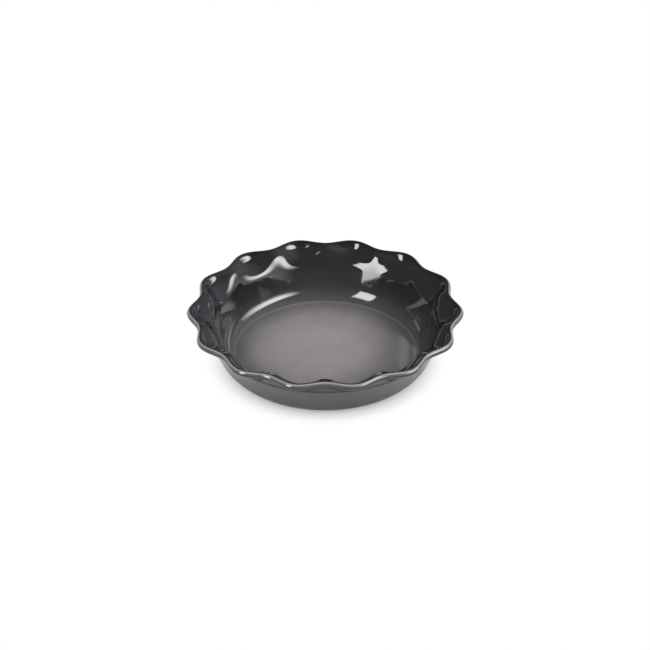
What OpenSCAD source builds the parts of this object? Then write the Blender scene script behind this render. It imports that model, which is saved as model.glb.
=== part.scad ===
// Fluted pie dish: one piece of glazed stoneware with a ruffled, flaring rim.
// Millimetres, +Z up. The origin is the middle of the foot, on the table.
// The plain body is turned from one section. The ruffle on top of it is lofted through radial
// sections, which change smoothly from a hollow of the rim to a lobe and back. Inside, each lobe
// is a scoop with a fold under the lip, and each hollow turns out nearly level to the lip.

/* [Rim] */
// Width across two opposite lobes of the rim
rim_d = 270; // [256:1:290]
// Overall height, from the table to the top of the lip
rim_h = 54.8; // [50:0.2:62]
// Number of flutes round the rim
flute_count = 14; // [10:1:18]
// How much farther out a lobe of the lip reaches than a hollow
flute_depth = 7.6; // [3:0.2:11]
// Thickness of the rounded lip
lip_t = 6.8; // [5:0.2:8]
// Slope of the ruffle above level under the lip at a lobe, in degrees
lobe_tilt = 38; // [25:1:50]
// Slope of the ruffle above level under the lip at a hollow, in degrees
hollow_tilt = 27; // [15:1:40]
// Slope above level inside the lip at a lobe, down to the fold of the scoop, in degrees
lobe_cup = 54; // [40:1:70]
// Depth of that fold below the top of the lip
lobe_cup_depth = 6.4; // [5:0.1:7.4]
// Slope above level of the floor of the scoop, where it reaches that fold, in degrees
scoop_slope = 8; // [0:1:20]
// Slope above level inside the lip at a hollow, in degrees
hollow_cup = 17; // [12:1:30]
// Depth below the top of the lip at which a hollow turns down into the wall
hollow_cup_depth = 1.9; // [1.4:0.1:2.6]

/* [Body] */
// Outside diameter of the wall at the crease where the ruffle starts
crease_d = 231; // [215:1:240]
// Height of that crease above the table
crease_h = 36; // [32:0.5:38.5]
// Depth of the crease
crease_depth = 0.5; // [0.2:0.1:1]
// Height above the crease of the brow inside, where the plain wall turns out into the ruffle
brow_rise = -0.2; // [-3:0.1:4]
// Lean of the outside of the wall away from upright, in degrees
wall_lean = 24.5; // [15:0.5:32]
// How much steeper the inside of the wall is than the outside, in degrees
wall_wedge = 3.7; // [0:0.1:6]
// Thickness of the wall where it leaves the round of the bowl
wall_t = 6; // [4.5:0.1:7]
// Radius of the round outside heel
heel_r = 28; // [24:1:34]
// Thickness of the floor
floor_t = 5.8; // [4:0.1:7]
// Radius of the fillet between the floor and the wall
fillet_r = 5; // [2:0.5:6]

/* [Foot] */
// Distance from the foot ring out to the edge of the underside, where the heel starts
foot_inset = 3.5; // [1:0.5:20]
// Width of the foot ring
foot_w = 7; // [4:0.5:12]
// Height of the foot ring below the underside of the floor
foot_h = 1.2; // [0.8:0.1:3]
// Radius of the edges of the foot ring
foot_edge_r = 0.5; // [0.2:0.1:0.8]

/* [Hidden] */

// Angular steps in one flute, even so that each lobe and each hollow has its own section
flute_steps = 2*floor(84/flute_count);
steps = flute_count*flute_steps;

// Bands of faces along each stretch of a section
fillet_bands = 6;
bowl_bands = 6;
heel_bands = 10;
foot_edge_bands = 4;
brow_bands = 8;
cup_bands = 4;
lip_bands = 7;
flare_bands = 7;

lip_r = lip_t/2;
lip_mid_r = (rim_d - lip_t - flute_depth)/2;
lip_mid_h = rim_h - lip_r;
floor_h = foot_h + floor_t;

// Directions in the section: up along the wall outside, and straight out of it
wall_run = [sin(wall_lean), cos(wall_lean)];
wall_out = [cos(wall_lean), -sin(wall_lean)];
// The same for the wall inside
inner_lean = wall_lean - wall_wedge;
inner_run = [sin(inner_lean), cos(inner_lean)];
inner_out = [cos(inner_lean), -sin(inner_lean)];

// The heel meets the underside at this angle below level
heel_end = 58;
// The round heel and the round lower part of the bowl share one centre.
// It lies so that the heel comes down to the underside and touches the straight wall.
bend_h = foot_h + heel_r*sin(heel_end);
heel_top_h = bend_h + heel_r*wall_out[1];
bend_c = [crease_d/2 - (crease_h - heel_top_h)*tan(wall_lean) - heel_r*wall_out[0], bend_h];
bowl_r = heel_r - wall_t;
foot_out_r = bend_c[0] + heel_r*cos(heel_end) - foot_inset;

// The fillet touches the floor and the round of the bowl
fillet_drop = bend_h - floor_h - fillet_r;
fillet_c = [bend_c[0] + sqrt(pow(bowl_r - fillet_r, 2) - pow(fillet_drop, 2)), floor_h + fillet_r];
fillet_end = asin(fillet_drop/(bowl_r - fillet_r));

// How far the section of the ruffle keeps its direction above the brow and before the cup
ruffle_rise = rim_h - crease_h;
brow_start = 0.52*ruffle_rise;
brow_end = 0.14*ruffle_rise;
// The same after the fold and before the lip, as shares of the distance between the two,
// and under the lip and before the crease. The first is for a hollow and the second for a lobe.
cup_start = [0.33, 0.15];
cup_end = [0.33, 0.6];
flare_start = ruffle_rise*[0.19, 0.37];
flare_end = ruffle_rise*[0.32, 0.08];

// Height at which the ruffle meets the inner face of the wall, just below the brow
joint_h = crease_h + brow_rise - 1;
// The ruffle is rooted this deep in the top of the wall, and this far in from its faces
root_h = wall_t/3;
root_in = wall_t/4;
// The ruffle stands this much proud of the inner face of the wall where the two meet
seam = 0.05;

// Points on a circle in the section, where the angle is measured below level
function arc_point(c, r, turn) = c + r*[cos(turn), -sin(turn)];
function arc(c, r, from, to, bands) =
    [for (i = [0:bands]) arc_point(c, r, from + (to - from)*i/bands)];

function bezier_point(p, t) =
    pow(1 - t, 3)*p[0] + 3*pow(1 - t, 2)*t*p[1] + 3*(1 - t)*t*t*p[2] + pow(t, 3)*p[3];
// A curve that leaves a along u for about lu, and reaches b along v for about lv
function curve(a, u, lu, b, v, lv, bands) =
    [for (i = [0:bands]) bezier_point([a, a + lu*u, b - lv*v, b], i/bands)];

// 1 at the middle of a lobe and 0 at the middle of a hollow
function lobe_share(a) = (1 + cos(flute_count*a))/2;

// Points on the outer and the inner face of the straight wall at height h
function outer_wall(h) = [crease_d/2 - (crease_h - h)*tan(wall_lean), h];
function inner_wall(h) =
    let (foot = bend_c + bowl_r*inner_out)
    [foot[0] + (h - foot[1])*tan(inner_lean), h];

// Section of the plain part: underside, foot ring, heel, wall, bowl and floor
function plain_section() =
    let (outer_edge = [foot_out_r - foot_edge_r, foot_edge_r],
         inner_edge = [foot_out_r - foot_w + foot_edge_r, foot_edge_r])
    concat(
        [[0, foot_h], [foot_out_r - foot_w, foot_h]],
        arc(inner_edge, foot_edge_r, 180, 90, foot_edge_bands),
        arc(outer_edge, foot_edge_r, 90, 0, foot_edge_bands),
        [[foot_out_r, foot_h]],
        arc(bend_c, heel_r, heel_end, wall_lean, heel_bands),
        [outer_wall(crease_h), outer_wall(crease_h) - [wall_t/2, 0], inner_wall(joint_h)],
        arc(bend_c, bowl_r, inner_lean, fillet_end, bowl_bands),
        arc(fillet_c, fillet_r, fillet_end, 90, fillet_bands),
        [[0, floor_h]]
    );

// Section of the ruffle at a hollow, k = 0, or at a lobe, k = 1:
// up the inside, over the lip, down the outside, and its root
function ruffle_section(k) =
    let (tilt = [hollow_tilt, lobe_tilt][k],
         cup = [hollow_cup, lobe_cup][k],
         fold_slope = [hollow_cup, scoop_slope][k],
         fold_h = rim_h - [hollow_cup_depth, lobe_cup_depth][k],
         lip_run = [cos(tilt), sin(tilt)],
         lip_up = [-sin(tilt), cos(tilt)],
         cup_run = [cos(cup), sin(cup)],
         fold_run = [cos(fold_slope), sin(fold_slope)],
         lip_c = [lip_mid_r + flute_depth*(k - 0.5), lip_mid_h],
         cup_top = lip_c + lip_r*[-sin(cup), cos(cup)],
         fold = [cup_top[0] - (cup_top[1] - fold_h)/tan(cup), fold_h],
         reach = norm(cup_top - fold),
         cup_curve = curve(fold, fold_run, reach*cup_start[k],
                           cup_top, cup_run, reach*cup_end[k], cup_bands),
         crease = outer_wall(crease_h) - [crease_depth, 0])
    concat(
        [inner_wall(joint_h) - [seam, 0]],
        curve(inner_wall(crease_h + brow_rise), inner_run, brow_start,
              fold, fold_run, brow_end, brow_bands),
        [for (i = [1:cup_bands]) cup_curve[i]],
        [for (i = [1:lip_bands - 1])
            arc_point(lip_c, lip_r, -90 - cup + (180 + cup - tilt)*i/lip_bands)],
        curve(lip_c - lip_r*lip_up, -lip_run, flare_start[k],
              crease, -wall_run, flare_end[k], flare_bands),
        [outer_wall(crease_h - root_h) - [root_in, 0], inner_wall(joint_h - root_h) + [root_in, 0]]
    );

function turned(point, a) = [point[0]*cos(a), point[0]*sin(a), point[1]];

module plain_body() {
    rotate_extrude($fn = 180) polygon(plain_section());
}

// The hollow's section, turned round the axis and moved smoothly to the lobe's section and back
module ruffle() {
    hollow = ruffle_section(0);
    lobe = ruffle_section(1);
    rows = len(hollow);
    ring_points = [for (j = [0:steps - 1]) let (a = 360*j/steps)
                       for (i = [0:rows - 1])
                           turned(hollow[i] + (lobe[i] - hollow[i])*lobe_share(a), a)];
    faces = [for (j = [0:steps - 1]) let (k = (j + 1)%steps)
                 for (i = [0:rows - 1]) let (n = (i + 1)%rows)
                     for (tri = [[j*rows + i, k*rows + i, k*rows + n],
                                 [j*rows + i, k*rows + n, j*rows + n]]) tri];
    polyhedron(points = ring_points, faces = faces);
}

module dish() {
    color("dimgray")
        union() {
            plain_body();
            ruffle();
        }
}

dish();
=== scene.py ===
"""A ruffled pie dish in charcoal glaze: its fine surface, its finish and a plain studio."""

from math import cos, pi, radians, sin, tan

import bpy
from bpy.props import FloatProperty, FloatVectorProperty, IntProperty, PointerProperty
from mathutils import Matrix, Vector


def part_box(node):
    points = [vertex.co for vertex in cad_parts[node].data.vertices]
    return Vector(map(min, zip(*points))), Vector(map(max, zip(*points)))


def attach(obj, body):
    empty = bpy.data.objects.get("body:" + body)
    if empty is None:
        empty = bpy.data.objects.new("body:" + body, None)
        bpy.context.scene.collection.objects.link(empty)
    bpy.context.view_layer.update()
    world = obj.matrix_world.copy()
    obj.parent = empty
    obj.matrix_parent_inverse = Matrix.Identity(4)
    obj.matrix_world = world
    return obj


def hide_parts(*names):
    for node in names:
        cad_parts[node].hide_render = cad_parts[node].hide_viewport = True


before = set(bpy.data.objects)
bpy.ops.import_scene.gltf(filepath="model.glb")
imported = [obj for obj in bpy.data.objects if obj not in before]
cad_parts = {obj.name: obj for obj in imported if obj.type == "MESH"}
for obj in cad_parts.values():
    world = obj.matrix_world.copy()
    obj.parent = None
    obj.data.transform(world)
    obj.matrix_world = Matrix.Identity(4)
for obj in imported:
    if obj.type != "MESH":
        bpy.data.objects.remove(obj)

bl_info = {
    "name": "Fluted Pie Dish",
    "version": (1, 0, 0),
    "blender": (4, 5, 0),
    "location": "View3D > Sidebar > Pie Dish",
    "description": "Builds a glazed pie dish with a ruffled rim, and a studio round it",
    "category": "Add Mesh",
}

BODY = "root"
NODE = "dish"
MM = 0.001

# How far the fine surface stays inside the box of the plain solid
SKIN = 0.1*MM
# Steps of the sweep in one flute, and how near to each other its points are welded
FLUTE_STEPS = 32
WELD = 0.01*MM
# Seed of the glaze's waves, and the height up to which there are none, so that the foot is level
WAVE_SEED = 3
LEVEL_BELOW = 4*MM
# Steps along each stretch of the section
STEPS = {"floor": 18, "fillet": 8, "bowl": 10, "wall": 12, "brow": 32, "cup": 14, "crest": 8,
         "lip": 16, "flare": 22, "crease": 6, "outside": 10, "heel": 12, "underside": 2,
         "foot side": 1, "foot edge": 4, "foot face": 3, "well side": 1, "well": 10}
# How far the ruffle's section keeps its direction above the brow and before the fold, as shares
# of the ruffle's height
BROW_START = 0.52
BROW_END = 0.14
# The same after the fold and before the lip, as shares of the cup's width, and then under the lip
# and before the crease, as shares of the ruffle's height
HOLLOW_SHARES = (0.33, 0.33, 0.19, 0.32)
LOBE_SHARES = (0.15, 0.6, 0.37, 0.08)

# Where each colour of the glaze lies: at this share of the way along the section, from the end of
# one stretch to the end of another. Some of these colours are painted shade and painted highlights.
GLAZE_STOPS = [
    ("middle", "floor", 0.0, "floor"),
    ("middle", "floor", 0.42, "floor"),
    ("middle", "floor", 0.73, "floor_mid"),
    # Floor edge: the glaze's own darkening towards the wall, deepened with painted shade
    ("middle", "floor", 0.957, "floor_edge_and_shade"),
    # Ring: a painted highlight where the floor meets the fillet
    ("middle", "floor", 0.98, "ring"),
    ("middle", "floor", 1.0, "ring"),
    ("floor", "fillet", 0.3, "fillet"),
    ("floor", "fillet", 1.0, "fillet"),
    ("fillet", "bowl", 0.35, "bowl"),
    ("bowl", "wall", 0.35, "wall"),
    ("wall", "brow", 0.3, "rim"),
    ("brow", "cup", 0.5, "rim"),
    ("brow", "cup", 1.0, "lip_inside"),
    ("crest", "lip", 0.06, "lip_inside"),
    # Lip edge: lighter thin glaze along the lip, with a painted highlight along its crest
    ("crest", "lip", 0.18, "lip_edge_and_highlight"),
    ("crest", "lip", 0.31, "lip"),
    # Lip foot: painted shade under the round of the lip
    ("crest", "lip", 0.55, "lip_foot_painted_shade"),
    ("crest", "lip", 0.95, "lip_foot_painted_shade"),
    # Under lip: painted shade under the overhanging lip
    ("lip", "flare", 0.15, "under_lip_painted_shade"),
    ("lip", "flare", 0.80, "under_lip_painted_shade"),
    # Crease: painted shade in the crease
    ("lip", "flare", 0.97, "crease"),
    ("flare", "crease", 0.9, "crease"),
    ("crease", "outside", 0.10, "outside"),
    ("outside", "heel", 0.80, "outside"),
    # Heel: painted shade low on the outside
    ("outside", "heel", 0.97, "heel"),
    ("heel", "underside", 0.5, "underside"),
    ("well side", "well", 1.0, "underside"),
]
# The same for the bare clay of the foot ring: white is bare, black is glazed
BARE_STOPS = [
    ("underside", "foot side", 0.4, (0, 0, 0)),
    ("underside", "foot side", 0.6, (1, 1, 1)),
    ("foot", "well side", 0.4, (1, 1, 1)),
    ("foot", "well side", 0.6, (0, 0, 0)),
]
# Roughness of the glaze where it is smoothest and where it is least smooth, and of bare clay
GLAZE_ROUGHNESS = (0.045, 0.06)
CLAY_ROUGHNESS = 0.85
GLAZE_IOR = 1.52
# Values of the noise between which the glaze goes from its darkest to its lightest clouds, and
# those of the fine noise between which a speck sets in
CLOUD_RANGE = (0.3, 0.7)
SPECK_RANGE = (0.62, 0.72)

# Width of the studio's floor, and how far it lies below the foot, so that the two don't coincide
FLOOR_WIDTH = 6.0
FLOOR_GAP = 0.05*MM
# How much light the floor throws back
FLOOR_PAINT = (0.8, 0.8, 0.8, 1)
# How far from what stands on the floor its soft shadow reaches, how deep it is at most, and how
# many samples find it
SHADOW_REACH = 20*MM
SHADOW_DEPTH = 0.76
SHADOW_SAMPLES = 16
# Heights of a direction between which the mirrored white sweep gives way to the dim studio
SWEEP_TOP = (0.05, 0.15)
WHITE = (1, 1, 1, 1)
# Colours of the dim studio and of its pale wall
DUSK_TINT = (1.0, 1.0, 1.02)
PALE_TINT = (0.95, 0.98, 1.08)
# How bright each lamp is, across and upwards. Up to the second number, as a share of its size,
# it is as dim as the first says. At the third it is bright, from the fourth on it dims, and at the
# fifth it would be dark. EVENLY is the same all over.
LEFT_ACROSS = (1.0, 0.0, 0.1, 0.98, 1.0)
LEFT_UP = (0.3, 0.0, 0.52, 0.78, 1.0)
RIGHT_ACROSS = (0.0, 0.04, 0.38, 0.45, 1.1)
RIGHT_UP = (0.1, 0.3, 0.64, 0.82, 1.0)
EVENLY = (1.0, 0.0, 1.0, 1.0, 2.0)
# Width of the camera's sensor, in millimetres
SENSOR_WIDTH = 36

# The sockets of a Mix node that hold its two values and its result, for each kind of value
MIX_SOCKETS = {"FLOAT": (2, 3, 0), "VECTOR": (4, 5, 1), "RGBA": (6, 7, 2)}

CAD_LOW, CAD_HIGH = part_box(NODE)
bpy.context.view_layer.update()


def length(name, text, default):
    """A length that the panel shows in the scene's units."""
    return FloatProperty(name=name, description=text, default=default, min=0,
                         unit="LENGTH", subtype="DISTANCE", precision=4)


def angle(name, text, default):
    """An angle, given in degrees and kept in radians."""
    return FloatProperty(name=name, description=text, default=radians(default),
                         unit="ROTATION", subtype="ANGLE")


def colour(name, text, default):
    """A colour in linear light."""
    return FloatVectorProperty(name=name, description=text, default=default, size=3,
                               min=0, max=1, subtype="COLOR")


class DishSizes(bpy.types.PropertyGroup):
    """The sizes of the dish."""
    rim_d: length("Rim", "Width across two opposite lobes", CAD_HIGH.x - CAD_LOW.x - 2*SKIN)
    rim_h: length("Height", "From the table to the top of the lip", CAD_HIGH.z - SKIN)
    flute_count: IntProperty(name="Flutes", description="Number of flutes round the rim",
                             default=14, min=4)
    flute_depth: length("Flute Depth", "How much farther out a lobe reaches than a hollow", 7.6*MM)
    lip_t: length("Lip", "Thickness of the rounded lip", 6.8*MM)
    lobe_tilt: angle("Lobe Tilt", "Slope above level under the lip at a lobe", 38)
    hollow_tilt: angle("Hollow Tilt", "Slope above level under the lip at a hollow", 27)
    lobe_cup: angle("Lobe Cup", "Slope above level inside the lip at a lobe", 54)
    lobe_cup_depth: length("Lobe Cup Depth", "From the top of the lip down to the scoop's fold",
                           6.4*MM)
    scoop_slope: angle("Scoop Slope", "Slope above level of the scoop's floor at the fold", 8)
    hollow_cup: angle("Hollow Cup", "Slope above level inside the lip at a hollow", 17)
    hollow_cup_depth: length("Hollow Cup Depth",
                             "From the top of the lip down to where a hollow turns down", 1.9*MM)
    crease_d: length("Crease", "Outside diameter where the ruffle starts", 231*MM)
    crease_h: length("Crease Height", "Height of the crease above the table", 36*MM)
    crease_depth: length("Crease Depth", "Depth of the crease", 0.5*MM)
    crease_w: length("Crease Width", "Height over which glaze rounds the crease", 1.4*MM)
    brow_rise: FloatProperty(name="Brow", description="Height of the inner brow above the crease",
                             default=-0.2*MM, unit="LENGTH", subtype="DISTANCE", precision=4)
    wall_lean: angle("Wall Lean", "Lean of the outer wall away from upright", 24.5)
    inner_lean: angle("Inner Lean", "Lean of the inner wall away from upright", 20.8)
    wall_t: length("Wall", "Thickness of the wall where it leaves the bowl", 6*MM)
    heel_r: length("Heel", "Radius of the round outside heel", 28*MM)
    heel_end: angle("Heel End", "Angle below level at which the heel meets the underside", 58)
    floor_t: length("Floor", "Thickness of the floor", 5.8*MM)
    fillet_r: length("Fillet", "Radius between the floor and the wall", 5*MM)
    foot_inset: length("Foot Inset", "From the foot ring out to the edge of the underside", 3.5*MM)
    foot_w: length("Foot Width", "Width of the foot ring", 7*MM)
    foot_h: length("Foot Height", "Height of the foot ring", 1.2*MM)
    foot_edge_r: length("Foot Edge", "Radius of the edges of the foot ring", 0.5*MM)
    waviness: length("Waviness", "How far the fired glaze runs high or low", 0.02*MM)
    wave_size: length("Wave Size", "Size of those waves", 28*MM)


class GlazeColours(bpy.types.PropertyGroup):
    """The colours of the glaze, from the middle of the floor over the lip to the foot. Some of them
    are painted shade and painted highlights, as noted at each.
    """
    floor: colour("Floor", "Middle of the floor", (0.29, 0.272, 0.27))
    floor_mid: colour("Floor Mid", "About three quarters of the way out", (0.245, 0.232, 0.228))
    # Partly the glaze's own darkening towards the wall, and partly painted shade standing in for the
    # shade the wall casts on the floor
    floor_edge_and_shade: colour("Floor Edge", "Floor close to the wall", (0.128, 0.1252, 0.1207))
    # Painted highlight: a lighter thin line where the floor meets the fillet, standing in for the
    # reflection in that bend
    ring: colour("Ring", "Thin glaze where the floor ends", (0.168, 0.1635, 0.1588))
    fillet: colour("Fillet", "Where the floor turns up into the wall", (0.059, 0.0574, 0.055))
    bowl: colour("Bowl", "Round lower part of the wall inside", (0.045, 0.0438, 0.0412))
    wall: colour("Wall", "Inside of the wall", (0.0225, 0.022, 0.021))
    rim: colour("Rim", "Inside of the ruffle", (0.013, 0.0135, 0.0145))
    lip_inside: colour("Lip Inside", "Inner edge of the lip", (0.007, 0.007, 0.008))
    # Partly the lip's lighter thin glaze, and partly a painted highlight along the crest of the lip
    lip_edge_and_highlight: colour("Lip Edge", "Thin glaze along the lip", (0.31, 0.298, 0.29))
    lip: colour("Lip", "Outer face of the lip", (0.12, 0.114, 0.11))
    # Painted shade: the dark line under the round of the lip
    lip_foot_painted_shade: colour("Lip Foot", "Glaze gathered under the lip", (0.018, 0.017, 0.017))
    # Painted shade: the outside of the ruffle darkened where the lip overhangs it
    under_lip_painted_shade: colour("Under Lip", "Outside of the ruffle under the lip", (0.024, 0.023, 0.022))
    # Painted shade: a dark band in the crease where the ruffle meets the wall
    crease: colour("Crease", "Glaze gathered in the crease", (0.014, 0.014, 0.014))
    outside: colour("Outside", "Outer wall", (0.048, 0.0452, 0.0425))
    # Painted shade: darker low on the outside, towards the foot
    heel: colour("Heel", "Glaze gathered low on the outside", (0.02, 0.019, 0.018))
    underside: colour("Underside", "Underside of the floor", (0.06, 0.057, 0.055))
    foot: colour("Foot", "Bare clay of the foot ring", (0.55, 0.48, 0.40))


class GlazeFinish(bpy.types.PropertyGroup):
    """The uneven finish of the fired glaze."""
    cloud_size: length("Cloud Size", "Size of its lighter and darker clouds", 24*MM)
    clouding: FloatProperty(name="Clouding", description="How much lighter or darker they are",
                            default=0.05, min=0, max=1, subtype="FACTOR")
    speck_size: length("Speck Size", "Spacing of its fine dark specks", 0.9*MM)
    specking: FloatProperty(name="Specking", description="How much darker the specks are",
                            default=0.14, min=0, max=1, subtype="FACTOR")
    peel_size: length("Peel Size", "Size of the slight unevenness of its surface", 7*MM)
    peel_depth: FloatProperty(name="Peel Depth", description="Depth of that unevenness",
                              default=0.005*MM, min=0, unit="LENGTH", precision=6)


class StudioLook(bpy.types.PropertyGroup):
    """The camera and the lights. A turn is measured from the camera round to its right."""
    camera_distance: length("Camera Distance", "From the camera to its aim", 3.592)
    camera_rise: angle("Camera Rise", "Height of the camera above level", 33.06)
    camera_aim: FloatVectorProperty(name="Camera Aim", description="The point in the middle of the view",
                                    default=(-0.25*MM, 17.2*MM, 26.3*MM), size=3,
                                    unit="LENGTH", subtype="XYZ", precision=4)
    lens: FloatProperty(name="Lens", description="Focal length of the camera, in millimetres",
                        default=202.5, min=1)
    left_turn: angle("Left Softbox Turn", "Direction of the tall softbox on the left", -47.5)
    left_rise: angle("Left Softbox Rise", "Height of its middle above level", 23)
    left_wide: angle("Left Softbox Width", "Width of it, seen from the dish", 19)
    left_high: angle("Left Softbox Height", "Height of it, seen from the dish", 58)
    left_glow: FloatProperty(name="Left Softbox Glow", description="Brightness of it, where white is 1",
                             default=14.5, min=0)
    right_turn: angle("Right Softbox Turn", "Direction of the wide softbox on the right", 68)
    right_rise: angle("Right Softbox Rise", "Height of its middle above level", 22)
    right_wide: angle("Right Softbox Width", "Width of it, seen from the dish", 80)
    right_high: angle("Right Softbox Height", "Height of it, seen from the dish", 38)
    right_glow: FloatProperty(name="Right Softbox Glow",
                              description="Brightness of it, where white is 1", default=15, min=0)
    strip_turn: angle("Strip Turn", "Direction of the narrow strip light behind", 175.17)
    strip_rise: angle("Strip Rise", "Height of its middle above level", 33.6)
    strip_wide: angle("Strip Width", "Width of it, seen from the dish", 0.48)
    strip_high: angle("Strip Height", "Height of it, seen from the dish", 15)
    strip_glow: FloatProperty(name="Strip Glow", description="Brightness of it, where white is 1",
                              default=0.95, min=0)
    softbox_distance: length("Lamp Distance", "From the dish to the softboxes and the strip", 1.6)
    fill: FloatProperty(name="Fill", description="Even light from all round, where white is 1",
                        default=0.15, min=0)
    dusk: FloatProperty(name="Dusk", description="Brightness of the studio above the white sweep, "
                        "as the glaze mirrors it", default=0.19, min=0)
    pale: FloatProperty(name="Pale Wall", description="Brightness of the studio's pale wall behind "
                        "on the right, as the glaze mirrors it", default=0.68, min=0)
    pale_turn: angle("Pale Wall Turn", "Direction of the pale wall", 114)
    pale_rise: angle("Pale Wall Rise", "Height of its middle above level", 33)
    pale_core: angle("Pale Wall Core", "Up to this far from its middle it is brightest", 15)
    pale_reach: angle("Pale Wall Reach", "From this far off it is as dim as the rest", 55)


def arc(centre, radius, start, end, count):
    """Points on a circle in the section, at angles below level. The first is left out."""
    turns = [start + (end - start)*i/count for i in range(1, count + 1)]
    return [centre + radius*Vector((cos(t), -sin(t))) for t in turns]


def straight(a, b, count):
    """Points from a to b. The first is left out."""
    return [a.lerp(b, i/count) for i in range(1, count + 1)]


def curve(a, a_run, b, b_run, count):
    """Points on a curve that leaves a along a_run and reaches b along b_run. The first is left out."""
    shape = [a, a + a_run, b - b_run, b]
    points = []
    for i in range(1, count + 1):
        t = i/count
        weights = [(1 - t)**3, 3*(1 - t)**2*t, 3*(1 - t)*t*t, t**3]
        points.append(sum((w*p for w, p in zip(weights, shape)), Vector((0, 0))))
    return points


def dish_section(s, lobe):
    """Stretches of the section at a lobe or at a hollow, as (name, points) from the middle of the
    floor up the inside, over the lip, down the outside and under the foot."""
    run = Vector((sin(s.wall_lean), cos(s.wall_lean)))
    out = Vector((cos(s.wall_lean), -sin(s.wall_lean)))
    floor_h = s.foot_h + s.floor_t

    def outer(h):
        return Vector((s.crease_d/2 - (s.crease_h - h)*tan(s.wall_lean), h))

    bend_h = s.foot_h + s.heel_r*sin(s.heel_end)
    heel_top_h = bend_h + s.heel_r*out.y
    bend = Vector((outer(heel_top_h).x - s.heel_r*out.x, bend_h))
    bowl_r = s.heel_r - s.wall_t
    drop = bend_h - floor_h - s.fillet_r
    fillet = Vector((bend.x + ((bowl_r - s.fillet_r)**2 - drop**2)**0.5, floor_h + s.fillet_r))
    fillet_end = Vector((fillet.x - bend.x, drop))
    fillet_turn = pi/2 - fillet_end.angle(Vector((0, 1)))

    inner_run = Vector((sin(s.inner_lean), cos(s.inner_lean)))
    inner_out = Vector((cos(s.inner_lean), -sin(s.inner_lean)))
    bowl_top = bend + bowl_r*inner_out
    brow = bowl_top + inner_run*((s.crease_h + s.brow_rise - bowl_top.y)/inner_run.y)

    if lobe:
        tilt, cup, fold_slope = s.lobe_tilt, s.lobe_cup, s.scoop_slope
        reach, fold_drop = s.flute_depth/2, s.lobe_cup_depth
        cup_start, cup_end, flare_start, flare_end = LOBE_SHARES
    else:
        tilt, cup, fold_slope = s.hollow_tilt, s.hollow_cup, s.hollow_cup
        reach, fold_drop = -s.flute_depth/2, s.hollow_cup_depth
        cup_start, cup_end, flare_start, flare_end = HOLLOW_SHARES
    lip_run = Vector((cos(tilt), sin(tilt)))
    lip_down = Vector((sin(tilt), -cos(tilt)))
    cup_run = Vector((cos(cup), sin(cup)))
    fold_run = Vector((cos(fold_slope), sin(fold_slope)))
    lip_r = s.lip_t/2
    lip = Vector(((s.rim_d - s.lip_t - s.flute_depth)/2 + reach, s.rim_h - lip_r))
    cup_top = lip + lip_r*Vector((-sin(cup), cos(cup)))
    fold_h = s.rim_h - fold_drop
    fold = Vector((cup_top.x - (cup_top.y - fold_h)/tan(cup), fold_h))
    cup_width = (cup_top - fold).length
    rise = s.rim_h - s.crease_h

    crease_top = outer(s.crease_h) - out*s.crease_depth + run*s.crease_w/2
    crease_foot = outer(s.crease_h) - run*s.crease_w/2
    foot_out = bend.x + s.heel_r*cos(s.heel_end) - s.foot_inset
    foot_in = foot_out - s.foot_w
    edge = s.foot_edge_r
    return [
        ("middle", [Vector((0, floor_h))]),
        ("floor", straight(Vector((0, floor_h)), Vector((fillet.x, floor_h)), STEPS["floor"])),
        ("fillet", arc(fillet, s.fillet_r, pi/2, fillet_turn, STEPS["fillet"])),
        ("bowl", arc(bend, bowl_r, fillet_turn, s.inner_lean, STEPS["bowl"])),
        ("wall", straight(bowl_top, brow, STEPS["wall"])),
        ("brow", curve(brow, inner_run*rise*BROW_START, fold, fold_run*rise*BROW_END,
                       STEPS["brow"])),
        ("cup", curve(fold, fold_run*cup_width*cup_start, cup_top, cup_run*cup_width*cup_end,
                      STEPS["cup"])),
        ("crest", arc(lip, lip_r, -pi/2 - cup, -pi/2, STEPS["crest"])),
        ("lip", arc(lip, lip_r, -pi/2, pi/2 - tilt, STEPS["lip"])),
        ("flare", curve(lip + lip_r*lip_down, -lip_run*rise*flare_start,
                        crease_top, -run*rise*flare_end, STEPS["flare"])),
        ("crease", curve(crease_top, -run*s.crease_w/2, crease_foot, -run*s.crease_w/2,
                         STEPS["crease"])),
        ("outside", straight(crease_foot, outer(heel_top_h), STEPS["outside"])),
        ("heel", arc(bend, s.heel_r, s.wall_lean, s.heel_end, STEPS["heel"])),
        ("underside", straight(Vector((foot_out + s.foot_inset, s.foot_h)),
                               Vector((foot_out, s.foot_h)), STEPS["underside"])),
        ("foot side", straight(Vector((foot_out, s.foot_h)), Vector((foot_out, edge)),
                               STEPS["foot side"])),
        ("foot", arc(Vector((foot_out - edge, edge)), edge, 0, pi/2, STEPS["foot edge"])
         + straight(Vector((foot_out - edge, 0)), Vector((foot_in + edge, 0)), STEPS["foot face"])
         + arc(Vector((foot_in + edge, edge)), edge, pi/2, pi, STEPS["foot edge"])),
        ("well side", straight(Vector((foot_in, edge)), Vector((foot_in, s.foot_h)),
                               STEPS["well side"])),
        ("well", straight(Vector((foot_in, s.foot_h)), Vector((0, s.foot_h)), STEPS["well"])),
    ]


def flat_points(section):
    """Every point of a section, in order."""
    return [p for name, points in section for p in points]


def run_marks(section):
    """How far along the section each point lies, from 0 to 1, and where each stretch ends."""
    runs, marks, last = [], {}, None
    for name, points in section:
        for p in points:
            runs.append(runs[-1] + (p - last).length if runs else 0.0)
            last = p
        marks[name] = runs[-1]
    total = runs[-1]
    return [r/total for r in runs], {name: mark/total for name, mark in marks.items()}


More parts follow.
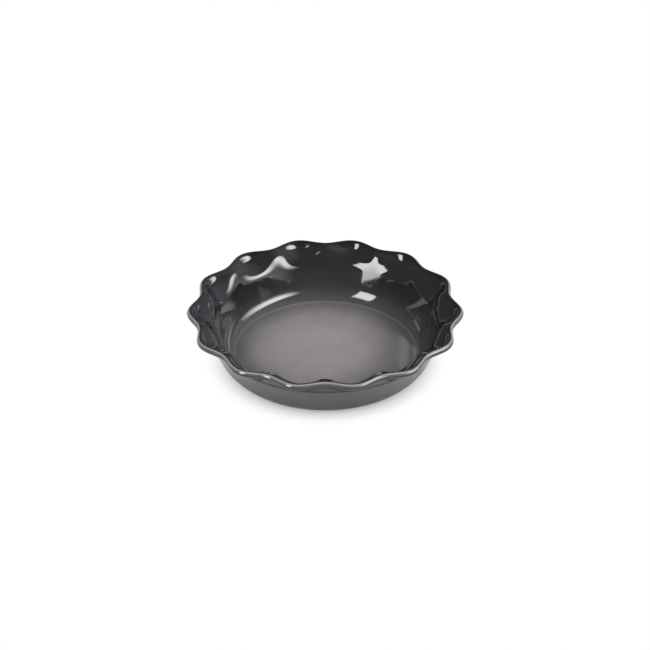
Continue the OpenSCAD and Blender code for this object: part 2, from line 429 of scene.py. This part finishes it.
def section_line(sizes):
    """The hollow's section as a line of points, with the lobe's points and the run stored on it."""
    hollow = dish_section(sizes, False)
    runs, marks = run_marks(hollow)
    hollow_points = [(p.x, 0, p.y) for p in flat_points(hollow)]
    lobe_points = [(p.x, 0, p.y) for p in flat_points(dish_section(sizes, True))]
    mesh = bpy.data.meshes.new("dish_section")
    mesh.from_pydata(hollow_points, [(i, i + 1) for i in range(len(runs) - 1)], [])
    lobe = mesh.attributes.new("lobe_point", "FLOAT_VECTOR", "POINT")
    lobe.data.foreach_set("vector", [c for p in lobe_points for c in p])
    run = mesh.attributes.new("run", "FLOAT", "POINT")
    run.data.foreach_set("value", runs)
    return mesh, marks


class TreeMaker:
    """Adds and joins the nodes of one tree."""

    def __init__(self, tree):
        self.tree = tree

    def node(self, kind, values=(), **settings):
        """A node, with values given to its inputs in order. A value is a number, a socket or None."""
        node = self.tree.nodes.new(kind)
        for name, setting in settings.items():
            setattr(node, name, setting)
        for socket, value in zip(node.inputs, values):
            self.feed(socket, value)
        return node

    def feed(self, socket, value):
        """Gives an input its number, or joins it to an output."""
        if isinstance(value, bpy.types.NodeSocket):
            self.tree.links.new(value, socket)
        elif value is not None:
            socket.default_value = value

    def math(self, operation, *values):
        """The result of a Math node."""
        return self.node("ShaderNodeMath", values, operation=operation).outputs[0]

    def parts(self, vector):
        """The outputs X, Y and Z of a vector."""
        return self.node("ShaderNodeSeparateXYZ", [vector]).outputs

    def scaled(self, vector, factor):
        """A vector or a colour times a number."""
        scale = self.node("ShaderNodeVectorMath", [vector], operation="SCALE")
        self.feed(scale.inputs["Scale"], factor)
        return scale.outputs[0]

    def ranged(self, value, low, high, to_low=0.0, to_high=1.0, smooth=False):
        """A number moved from one range to another, and kept inside it."""
        way = "SMOOTHSTEP" if smooth else "LINEAR"
        return self.node("ShaderNodeMapRange", [value, low, high, to_low, to_high],
                         interpolation_type=way).outputs[0]

    def mix(self, kind, factor, first, second):
        """The first value where the factor is 0, and the second where it is 1."""
        mixed = self.node("ShaderNodeMix", [factor], data_type=kind)
        a, b, result = MIX_SOCKETS[kind]
        self.feed(mixed.inputs[a], first)
        self.feed(mixed.inputs[b], second)
        return mixed.outputs[result]

    def input(self, name, kind, default=None):
        """Declares an input of the tree."""
        socket = self.tree.interface.new_socket(name, in_out="INPUT", socket_type=kind)
        if default is not None:
            socket.default_value = default

    def output(self, name, kind):
        """Declares an output of the tree."""
        self.tree.interface.new_socket(name, in_out="OUTPUT", socket_type=kind)


def fluted_sweep():
    """The tree that sweeps a section round the axis, from hollow to lobe and back in each flute."""
    tree = bpy.data.node_groups.new("Fluted Sweep", "GeometryNodeTree")
    make = TreeMaker(tree)
    make.input("Section", "NodeSocketGeometry")
    make.input("Flutes", "NodeSocketInt", 14)
    make.input("Steps per Flute", "NodeSocketInt", FLUTE_STEPS)
    make.input("Waviness", "NodeSocketFloat", 0.0)
    make.input("Wave Size", "NodeSocketFloat", 30*MM)
    make.input("Level Below", "NodeSocketFloat", LEVEL_BELOW)
    make.input("Seed", "NodeSocketInt", WAVE_SEED)
    make.input("Weld", "NodeSocketFloat", WELD)
    make.input("Glaze", "NodeSocketMaterial")
    make.output("Dish", "NodeSocketGeometry")
    given = tree.nodes.new("NodeGroupInput").outputs
    position = make.node("GeometryNodeInputPosition").outputs[0]

    # A grid, one unit wide and high, with a column for each step and a row for each point
    rows = make.node("GeometryNodeAttributeDomainSize", [given["Section"]]).outputs["Point Count"]
    steps = make.math("MULTIPLY", given["Flutes"], given["Steps per Flute"])
    grid = make.node("GeometryNodeMeshGrid", [1.0, 1.0, make.math("ADD", steps, 1.0), rows])
    place = make.parts(position)
    turn = make.math("MULTIPLY", make.math("ADD", place["X"], 0.5), 2*pi)
    row = make.math("MULTIPLY", make.math("ADD", place["Y"], 0.5),
                    make.math("SUBTRACT", rows, 1.0))
    row = make.math("ROUND", row)

    def sampled(kind, field):
        """A field of the section at the point of this row."""
        sample = make.node("GeometryNodeSampleIndex", data_type=kind, domain="POINT")
        make.feed(sample.inputs["Geometry"], given["Section"])
        make.feed(sample.inputs["Value"], field)
        make.feed(sample.inputs["Index"], row)
        return sample.outputs["Value"]

    def attribute(kind, name):
        """A field that is stored on the section."""
        named = make.node("GeometryNodeInputNamedAttribute", [name], data_type=kind)
        return named.outputs["Attribute"]

    def stored(geometry, name, field):
        """The geometry with a field stored on its points."""
        store = make.node("GeometryNodeStoreNamedAttribute", data_type="FLOAT", domain="POINT")
        make.feed(store.inputs["Geometry"], geometry)
        make.feed(store.inputs["Name"], name)
        make.feed(store.inputs["Value"], field)
        return store.outputs["Geometry"]

    # Each column gets the section at its turn, and is turned round the axis
    wave = make.math("COSINE", make.math("MULTIPLY", turn, given["Flutes"]))
    share = make.math("MULTIPLY_ADD", wave, 0.5, 0.5)
    point = make.parts(make.mix("VECTOR", share, sampled("FLOAT_VECTOR", position),
                                sampled("FLOAT_VECTOR", attribute("FLOAT_VECTOR", "lobe_point"))))
    swept = make.node("ShaderNodeCombineXYZ", [
        make.math("MULTIPLY", point["X"], make.math("COSINE", turn)),
        make.math("MULTIPLY", point["X"], make.math("SINE", turn)),
        point["Z"]])
    kept = stored(grid.outputs["Mesh"], "run", sampled("FLOAT", attribute("FLOAT", "run")))
    kept = stored(kept, "lobe_share", share)
    shaped = make.node("GeometryNodeSetPosition", [kept])
    make.feed(shaped.inputs["Position"], swept.outputs[0])
    welded = make.node("GeometryNodeMergeByDistance", [shaped.outputs["Geometry"]])
    make.feed(welded.inputs["Distance"], given["Weld"])
    faced = make.node("GeometryNodeFlipFaces", [welded.outputs["Geometry"]])

    # The waves set in above the level part, and are full from one and a half times its height
    noise = make.node("ShaderNodeTexNoise", [position, given["Seed"],
                                             make.math("DIVIDE", 1.0, given["Wave Size"]), 1.0],
                      noise_dimensions="4D").outputs[0]
    above = make.ranged(make.parts(position)["Z"], given["Level Below"],
                        make.math("MULTIPLY", given["Level Below"], 1.5), smooth=True)
    swing = make.math("MULTIPLY", make.math("SUBTRACT", noise, 0.5), 2.0)
    swing = make.math("MULTIPLY", swing, make.math("MULTIPLY", given["Waviness"], above))
    normal = make.node("GeometryNodeInputNormal").outputs[0]
    waved = make.node("GeometryNodeSetPosition", [faced.outputs[0]])
    make.feed(waved.inputs["Offset"], make.scaled(normal, swing))

    smooth = make.node("GeometryNodeSetShadeSmooth", [waved.outputs["Geometry"]])
    real = make.node("GeometryNodeRealizeInstances", [smooth.outputs["Geometry"]])
    coated = make.node("GeometryNodeSetMaterial", [real.outputs["Geometry"]])
    make.feed(coated.inputs["Material"], given["Glaze"])
    result = tree.nodes.new("NodeGroupOutput")
    make.feed(result.inputs[0], coated.outputs["Geometry"])
    return tree


def plain_mesh(obj, tree, values):
    """Runs a tree on an object with the named inputs, and returns the plain mesh that it makes."""
    modifier = obj.modifiers.new(tree.name, "NODES")
    modifier.node_group = tree
    for item in tree.interface.items_tree:
        if item.item_type == "SOCKET" and item.in_out == "INPUT" and item.name in values:
            modifier[item.identifier] = values[item.name]
    bpy.context.view_layer.update()
    graph = bpy.context.evaluated_depsgraph_get()
    mesh = bpy.data.meshes.new_from_object(obj.evaluated_get(graph), depsgraph=graph)
    obj.modifiers.remove(modifier)
    return mesh


def ramp_along(make, run, stops):
    """The colours of a Color Ramp with these stops, given as (run, colour)."""
    ramp = make.node("ShaderNodeValToRGB", [run])
    elements = ramp.color_ramp.elements
    while len(elements) < len(stops):
        elements.new(0.5)
    for element, (place, tint) in zip(elements, stops):
        element.position = place
        element.color = (*tint, 1)
    return ramp.outputs[0]


def glaze_material(colours, finish, marks):
    """Glossy glaze, whose colour follows the run of the section, with painted shade and painted
    highlights among its colours, and bare clay on the foot ring.
    """
    material = bpy.data.materials.new("charcoal_glaze")
    material.use_nodes = True
    tree = material.node_tree
    make = TreeMaker(tree)
    shader = tree.nodes["Principled BSDF"]
    run = make.node("ShaderNodeAttribute", attribute_name="run").outputs["Fac"]
    place = make.node("ShaderNodeTexCoord").outputs["Object"]

    def between(first, last, share):
        """The run at this share of the way from the end of one stretch to the end of another."""
        return marks[first] + (marks[last] - marks[first])*share

    def noise(size, detail):
        """Noise that stays on the dish, of this size."""
        return make.node("ShaderNodeTexNoise", [place, None, 1/size, detail]).outputs[0]

    glazed = ramp_along(make, run, [(between(first, last, share), getattr(colours, name))
                                    for first, last, share, name in GLAZE_STOPS])
    bare = ramp_along(make, run, [(between(first, last, share), tint)
                                  for first, last, share, tint in BARE_STOPS])
    cloud = noise(finish.cloud_size, 2.0)
    speck = noise(finish.speck_size, 1.0)
    tone = make.ranged(cloud, *CLOUD_RANGE, 1 - finish.clouding, 1 + finish.clouding)
    dot = make.ranged(speck, *SPECK_RANGE, 1.0, 1 - finish.specking)
    toned = make.scaled(glazed, make.math("MULTIPLY", tone, dot))
    make.feed(shader.inputs["Base Color"], make.mix("RGBA", bare, toned, (*colours.foot, 1)))
    polish = make.ranged(cloud, *CLOUD_RANGE, *GLAZE_ROUGHNESS)
    make.feed(shader.inputs["Roughness"], make.mix("FLOAT", bare, polish, CLAY_ROUGHNESS))
    bump = make.node("ShaderNodeBump")
    make.feed(bump.inputs["Height"], noise(finish.peel_size, 0.0))
    make.feed(bump.inputs["Distance"], finish.peel_depth)
    make.feed(shader.inputs["Normal"], bump.outputs[0])
    shader.inputs["IOR"].default_value = GLAZE_IOR
    return material


class PIEDISH_OT_make_dish(bpy.types.Operator):
    """Make the dish's fine surface, and put it in the place of the plain solid"""
    bl_idname = "piedish.make_dish"
    bl_label = "Make Dish"

    def execute(self, context):
        sizes = context.scene.pie_dish_sizes
        line, marks = section_line(sizes)
        glaze = glaze_material(context.scene.pie_dish_colours, context.scene.pie_dish_finish, marks)
        dish = bpy.data.objects.new("pie_dish", line)
        context.scene.collection.objects.link(dish)
        mesh = plain_mesh(dish, fluted_sweep(), {
            "Flutes": sizes.flute_count,
            "Steps per Flute": FLUTE_STEPS,
            "Waviness": sizes.waviness,
            "Wave Size": sizes.wave_size,
            "Glaze": glaze,
        })
        dish.data = mesh
        bpy.data.meshes.remove(line)
        mesh.name = "pie_dish"
        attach(dish, BODY)
        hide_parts(NODE)
        return {"FINISHED"}


def toward(turn, rise):
    """The direction at this turn from the camera's side, and at this height above level."""
    return Vector((sin(turn)*cos(rise), -cos(turn)*cos(rise), sin(rise)))


def brightness(make, place, profile):
    """How bright a lamp is at this place, which goes from 0 at one edge to 1 at the other."""
    least, start, full, dim, dark = profile
    rising = make.ranged(place, start, full, least, 1.0, smooth=True)
    falling = make.ranged(place, dim, dark, 1.0, 0.0, smooth=True)
    return make.math("MULTIPLY", rising, falling)


def add_lamp(name, look, side, across, up):
    """A rectangular lamp that faces the dish. The look holds its place, size and glow by side."""
    turn, rise, wide, high, glow = (getattr(look, f"{side}_{part}")
                                    for part in ("turn", "rise", "wide", "high", "glow"))
    distance = look.softbox_distance
    light = bpy.data.lights.new(name, "AREA")
    light.shape = "RECTANGLE"
    light.size = 2*distance*tan(wide/2)
    light.size_y = 2*distance*tan(high/2)
    light.energy = glow*pi*light.size*light.size_y
    light.use_nodes = True
    make = TreeMaker(light.node_tree)
    place = make.parts(make.node("ShaderNodeNewGeometry").outputs["Parametric"])
    strength = make.math("MULTIPLY", brightness(make, place["X"], across),
                         brightness(make, place["Y"], up))
    make.feed(light.node_tree.nodes["Emission"].inputs["Strength"], strength)
    lamp = bpy.data.objects.new(name, light)
    back = toward(turn, rise)
    lamp.location = back*distance
    lamp.rotation_euler = back.to_track_quat("Z", "Y").to_euler()
    lamp.visible_camera = False
    bpy.context.scene.collection.objects.link(lamp)


def add_camera(look):
    """The camera at the photograph's viewing angle."""
    camera = bpy.data.objects.new("camera", bpy.data.cameras.new("camera"))
    bpy.context.scene.collection.objects.link(camera)
    camera.data.lens = look.lens
    camera.data.sensor_width = SENSOR_WIDTH
    camera.location = Vector(look.camera_aim) + look.camera_distance*toward(0, look.camera_rise)
    camera.rotation_euler = (pi/2 - look.camera_rise, 0, 0)
    bpy.context.scene.camera = camera


def floor_material():
    """Pale matt floor. The eye sees it as pure white but for the soft shadow of what is near it,
    and the glaze mirrors it with a deeper shadow."""
    material = bpy.data.materials.new("pale_floor")
    material.use_nodes = True
    tree = material.node_tree
    make = TreeMaker(tree)
    tree.nodes.remove(tree.nodes["Principled BSDF"])
    matt = make.node("ShaderNodeBsdfDiffuse", [FLOOR_PAINT])
    openness = make.node("ShaderNodeAmbientOcclusion", samples=SHADOW_SAMPLES)
    openness.inputs["Distance"].default_value = SHADOW_REACH
    shut = make.math("SUBTRACT", 1.0, openness.outputs["AO"])
    shadow = make.math("MULTIPLY", make.math("MULTIPLY", shut, shut), SHADOW_DEPTH)
    shade = make.math("SUBTRACT", 1.0, shadow)
    rays = make.node("ShaderNodeLightPath").outputs
    mirrored = make.math("MAXIMUM", rays["Is Glossy Ray"], rays["Is Transmission Ray"])
    shade = make.mix("FLOAT", mirrored, shade, openness.outputs["AO"])
    seen_floor = make.node("ShaderNodeEmission", [WHITE, shade])
    seen = make.math("MAXIMUM", rays["Is Camera Ray"], mirrored)
    mixed = make.node("ShaderNodeMixShader", [seen, matt.outputs[0], seen_floor.outputs[0]])
    make.feed(tree.nodes["Material Output"].inputs["Surface"], mixed.outputs[0])
    return material


def add_floor():
    """The floor that the dish stands on."""
    mesh = bpy.data.meshes.new("studio_floor")
    half = FLOOR_WIDTH/2
    corners = [(x, y, -FLOOR_GAP) for x, y in ((-half, -half), (half, -half), (half, half),
                                               (-half, half))]
    mesh.from_pydata(corners, [], [(0, 1, 2, 3)])
    mesh.materials.append(floor_material())
    floor = bpy.data.objects.new("studio_floor", mesh)
    bpy.context.scene.collection.objects.link(floor)


def add_world(look):
    """White to the eye. The glaze mirrors white low down and a dim studio with a pale wall above,
    and everything gets an even fill light."""
    world = bpy.data.worlds.new("studio")
    world.use_nodes = True
    tree = world.node_tree
    make = TreeMaker(tree)
    white = tree.nodes["Background"]
    white.inputs["Color"].default_value = WHITE
    direction = make.node("ShaderNodeTexCoord").outputs["Generated"]
    dusk = make.ranged(make.parts(direction)["Z"], *SWEEP_TOP, smooth=True)
    aside = make.node("ShaderNodeVectorMath", [direction, toward(look.pale_turn, look.pale_rise)],
                      operation="DOT_PRODUCT").outputs["Value"]
    pale = make.ranged(aside, cos(look.pale_reach), cos(look.pale_core), smooth=True)
    studio = make.mix("RGBA", pale, (*[look.dusk*part for part in DUSK_TINT], 1),
                      (*[look.pale*part for part in PALE_TINT], 1))
    dim = make.node("ShaderNodeBackground", [make.mix("RGBA", dusk, WHITE, studio), 1.0])
    fill = make.node("ShaderNodeBackground", [WHITE, look.fill])
    rays = make.node("ShaderNodeLightPath").outputs
    shiny = make.math("MAXIMUM", rays["Is Glossy Ray"], rays["Is Transmission Ray"])
    unseen = make.node("ShaderNodeMixShader", [shiny, fill.outputs[0], dim.outputs[0]])
    mixed = make.node("ShaderNodeMixShader", [rays["Is Camera Ray"], unseen.outputs[0],
                                              white.outputs[0]])
    make.feed(tree.nodes["World Output"].inputs["Surface"], mixed.outputs[0])
    bpy.context.scene.world = world


class PIEDISH_OT_set_studio(bpy.types.Operator):
    """Set the floor, the camera and the lights"""
    bl_idname = "piedish.set_studio"
    bl_label = "Set Studio"

    def execute(self, context):
        look = context.scene.pie_dish_studio
        add_camera(look)
        add_floor()
        add_world(look)
        add_lamp("left_softbox", look, "left", LEFT_ACROSS, LEFT_UP)
        add_lamp("right_softbox", look, "right", RIGHT_ACROSS, RIGHT_UP)
        add_lamp("back_strip", look, "strip", EVENLY, EVENLY)
        context.scene.view_settings.view_transform = "Standard"
        return {"FINISHED"}


class PIEDISH_PT_panel(bpy.types.Panel):
    """The sizes, the colours and the steps"""
    bl_idname = "PIEDISH_PT_panel"
    bl_label = "Pie Dish"
    bl_space_type = "VIEW_3D"
    bl_region_type = "UI"
    bl_category = "Pie Dish"

    def draw(self, context):
        for group in (context.scene.pie_dish_sizes, context.scene.pie_dish_colours,
                      context.scene.pie_dish_finish, context.scene.pie_dish_studio):
            box = self.layout.box()
            for name in group.__annotations__:
                box.prop(group, name)
        self.layout.operator(PIEDISH_OT_make_dish.bl_idname)
        self.layout.operator(PIEDISH_OT_set_studio.bl_idname)


CLASSES = (DishSizes, GlazeColours, GlazeFinish, StudioLook, PIEDISH_OT_make_dish,
           PIEDISH_OT_set_studio, PIEDISH_PT_panel)


def register():
    """Registers the classes, and puts the groups of settings on the scene."""
    for cls in CLASSES:
        bpy.utils.register_class(cls)
    bpy.types.Scene.pie_dish_sizes = PointerProperty(type=DishSizes)
    bpy.types.Scene.pie_dish_colours = PointerProperty(type=GlazeColours)
    bpy.types.Scene.pie_dish_finish = PointerProperty(type=GlazeFinish)
    bpy.types.Scene.pie_dish_studio = PointerProperty(type=StudioLook)


def unregister():
    """Undoes what register does."""
    del bpy.types.Scene.pie_dish_studio
    del bpy.types.Scene.pie_dish_finish
    del bpy.types.Scene.pie_dish_colours
    del bpy.types.Scene.pie_dish_sizes
    for cls in reversed(CLASSES):
        bpy.utils.unregister_class(cls)


def main():
    """Makes the dish and the studio."""
    register()
    bpy.ops.piedish.make_dish()
    bpy.ops.piedish.set_studio()


if __name__ == "__main__":
    main()
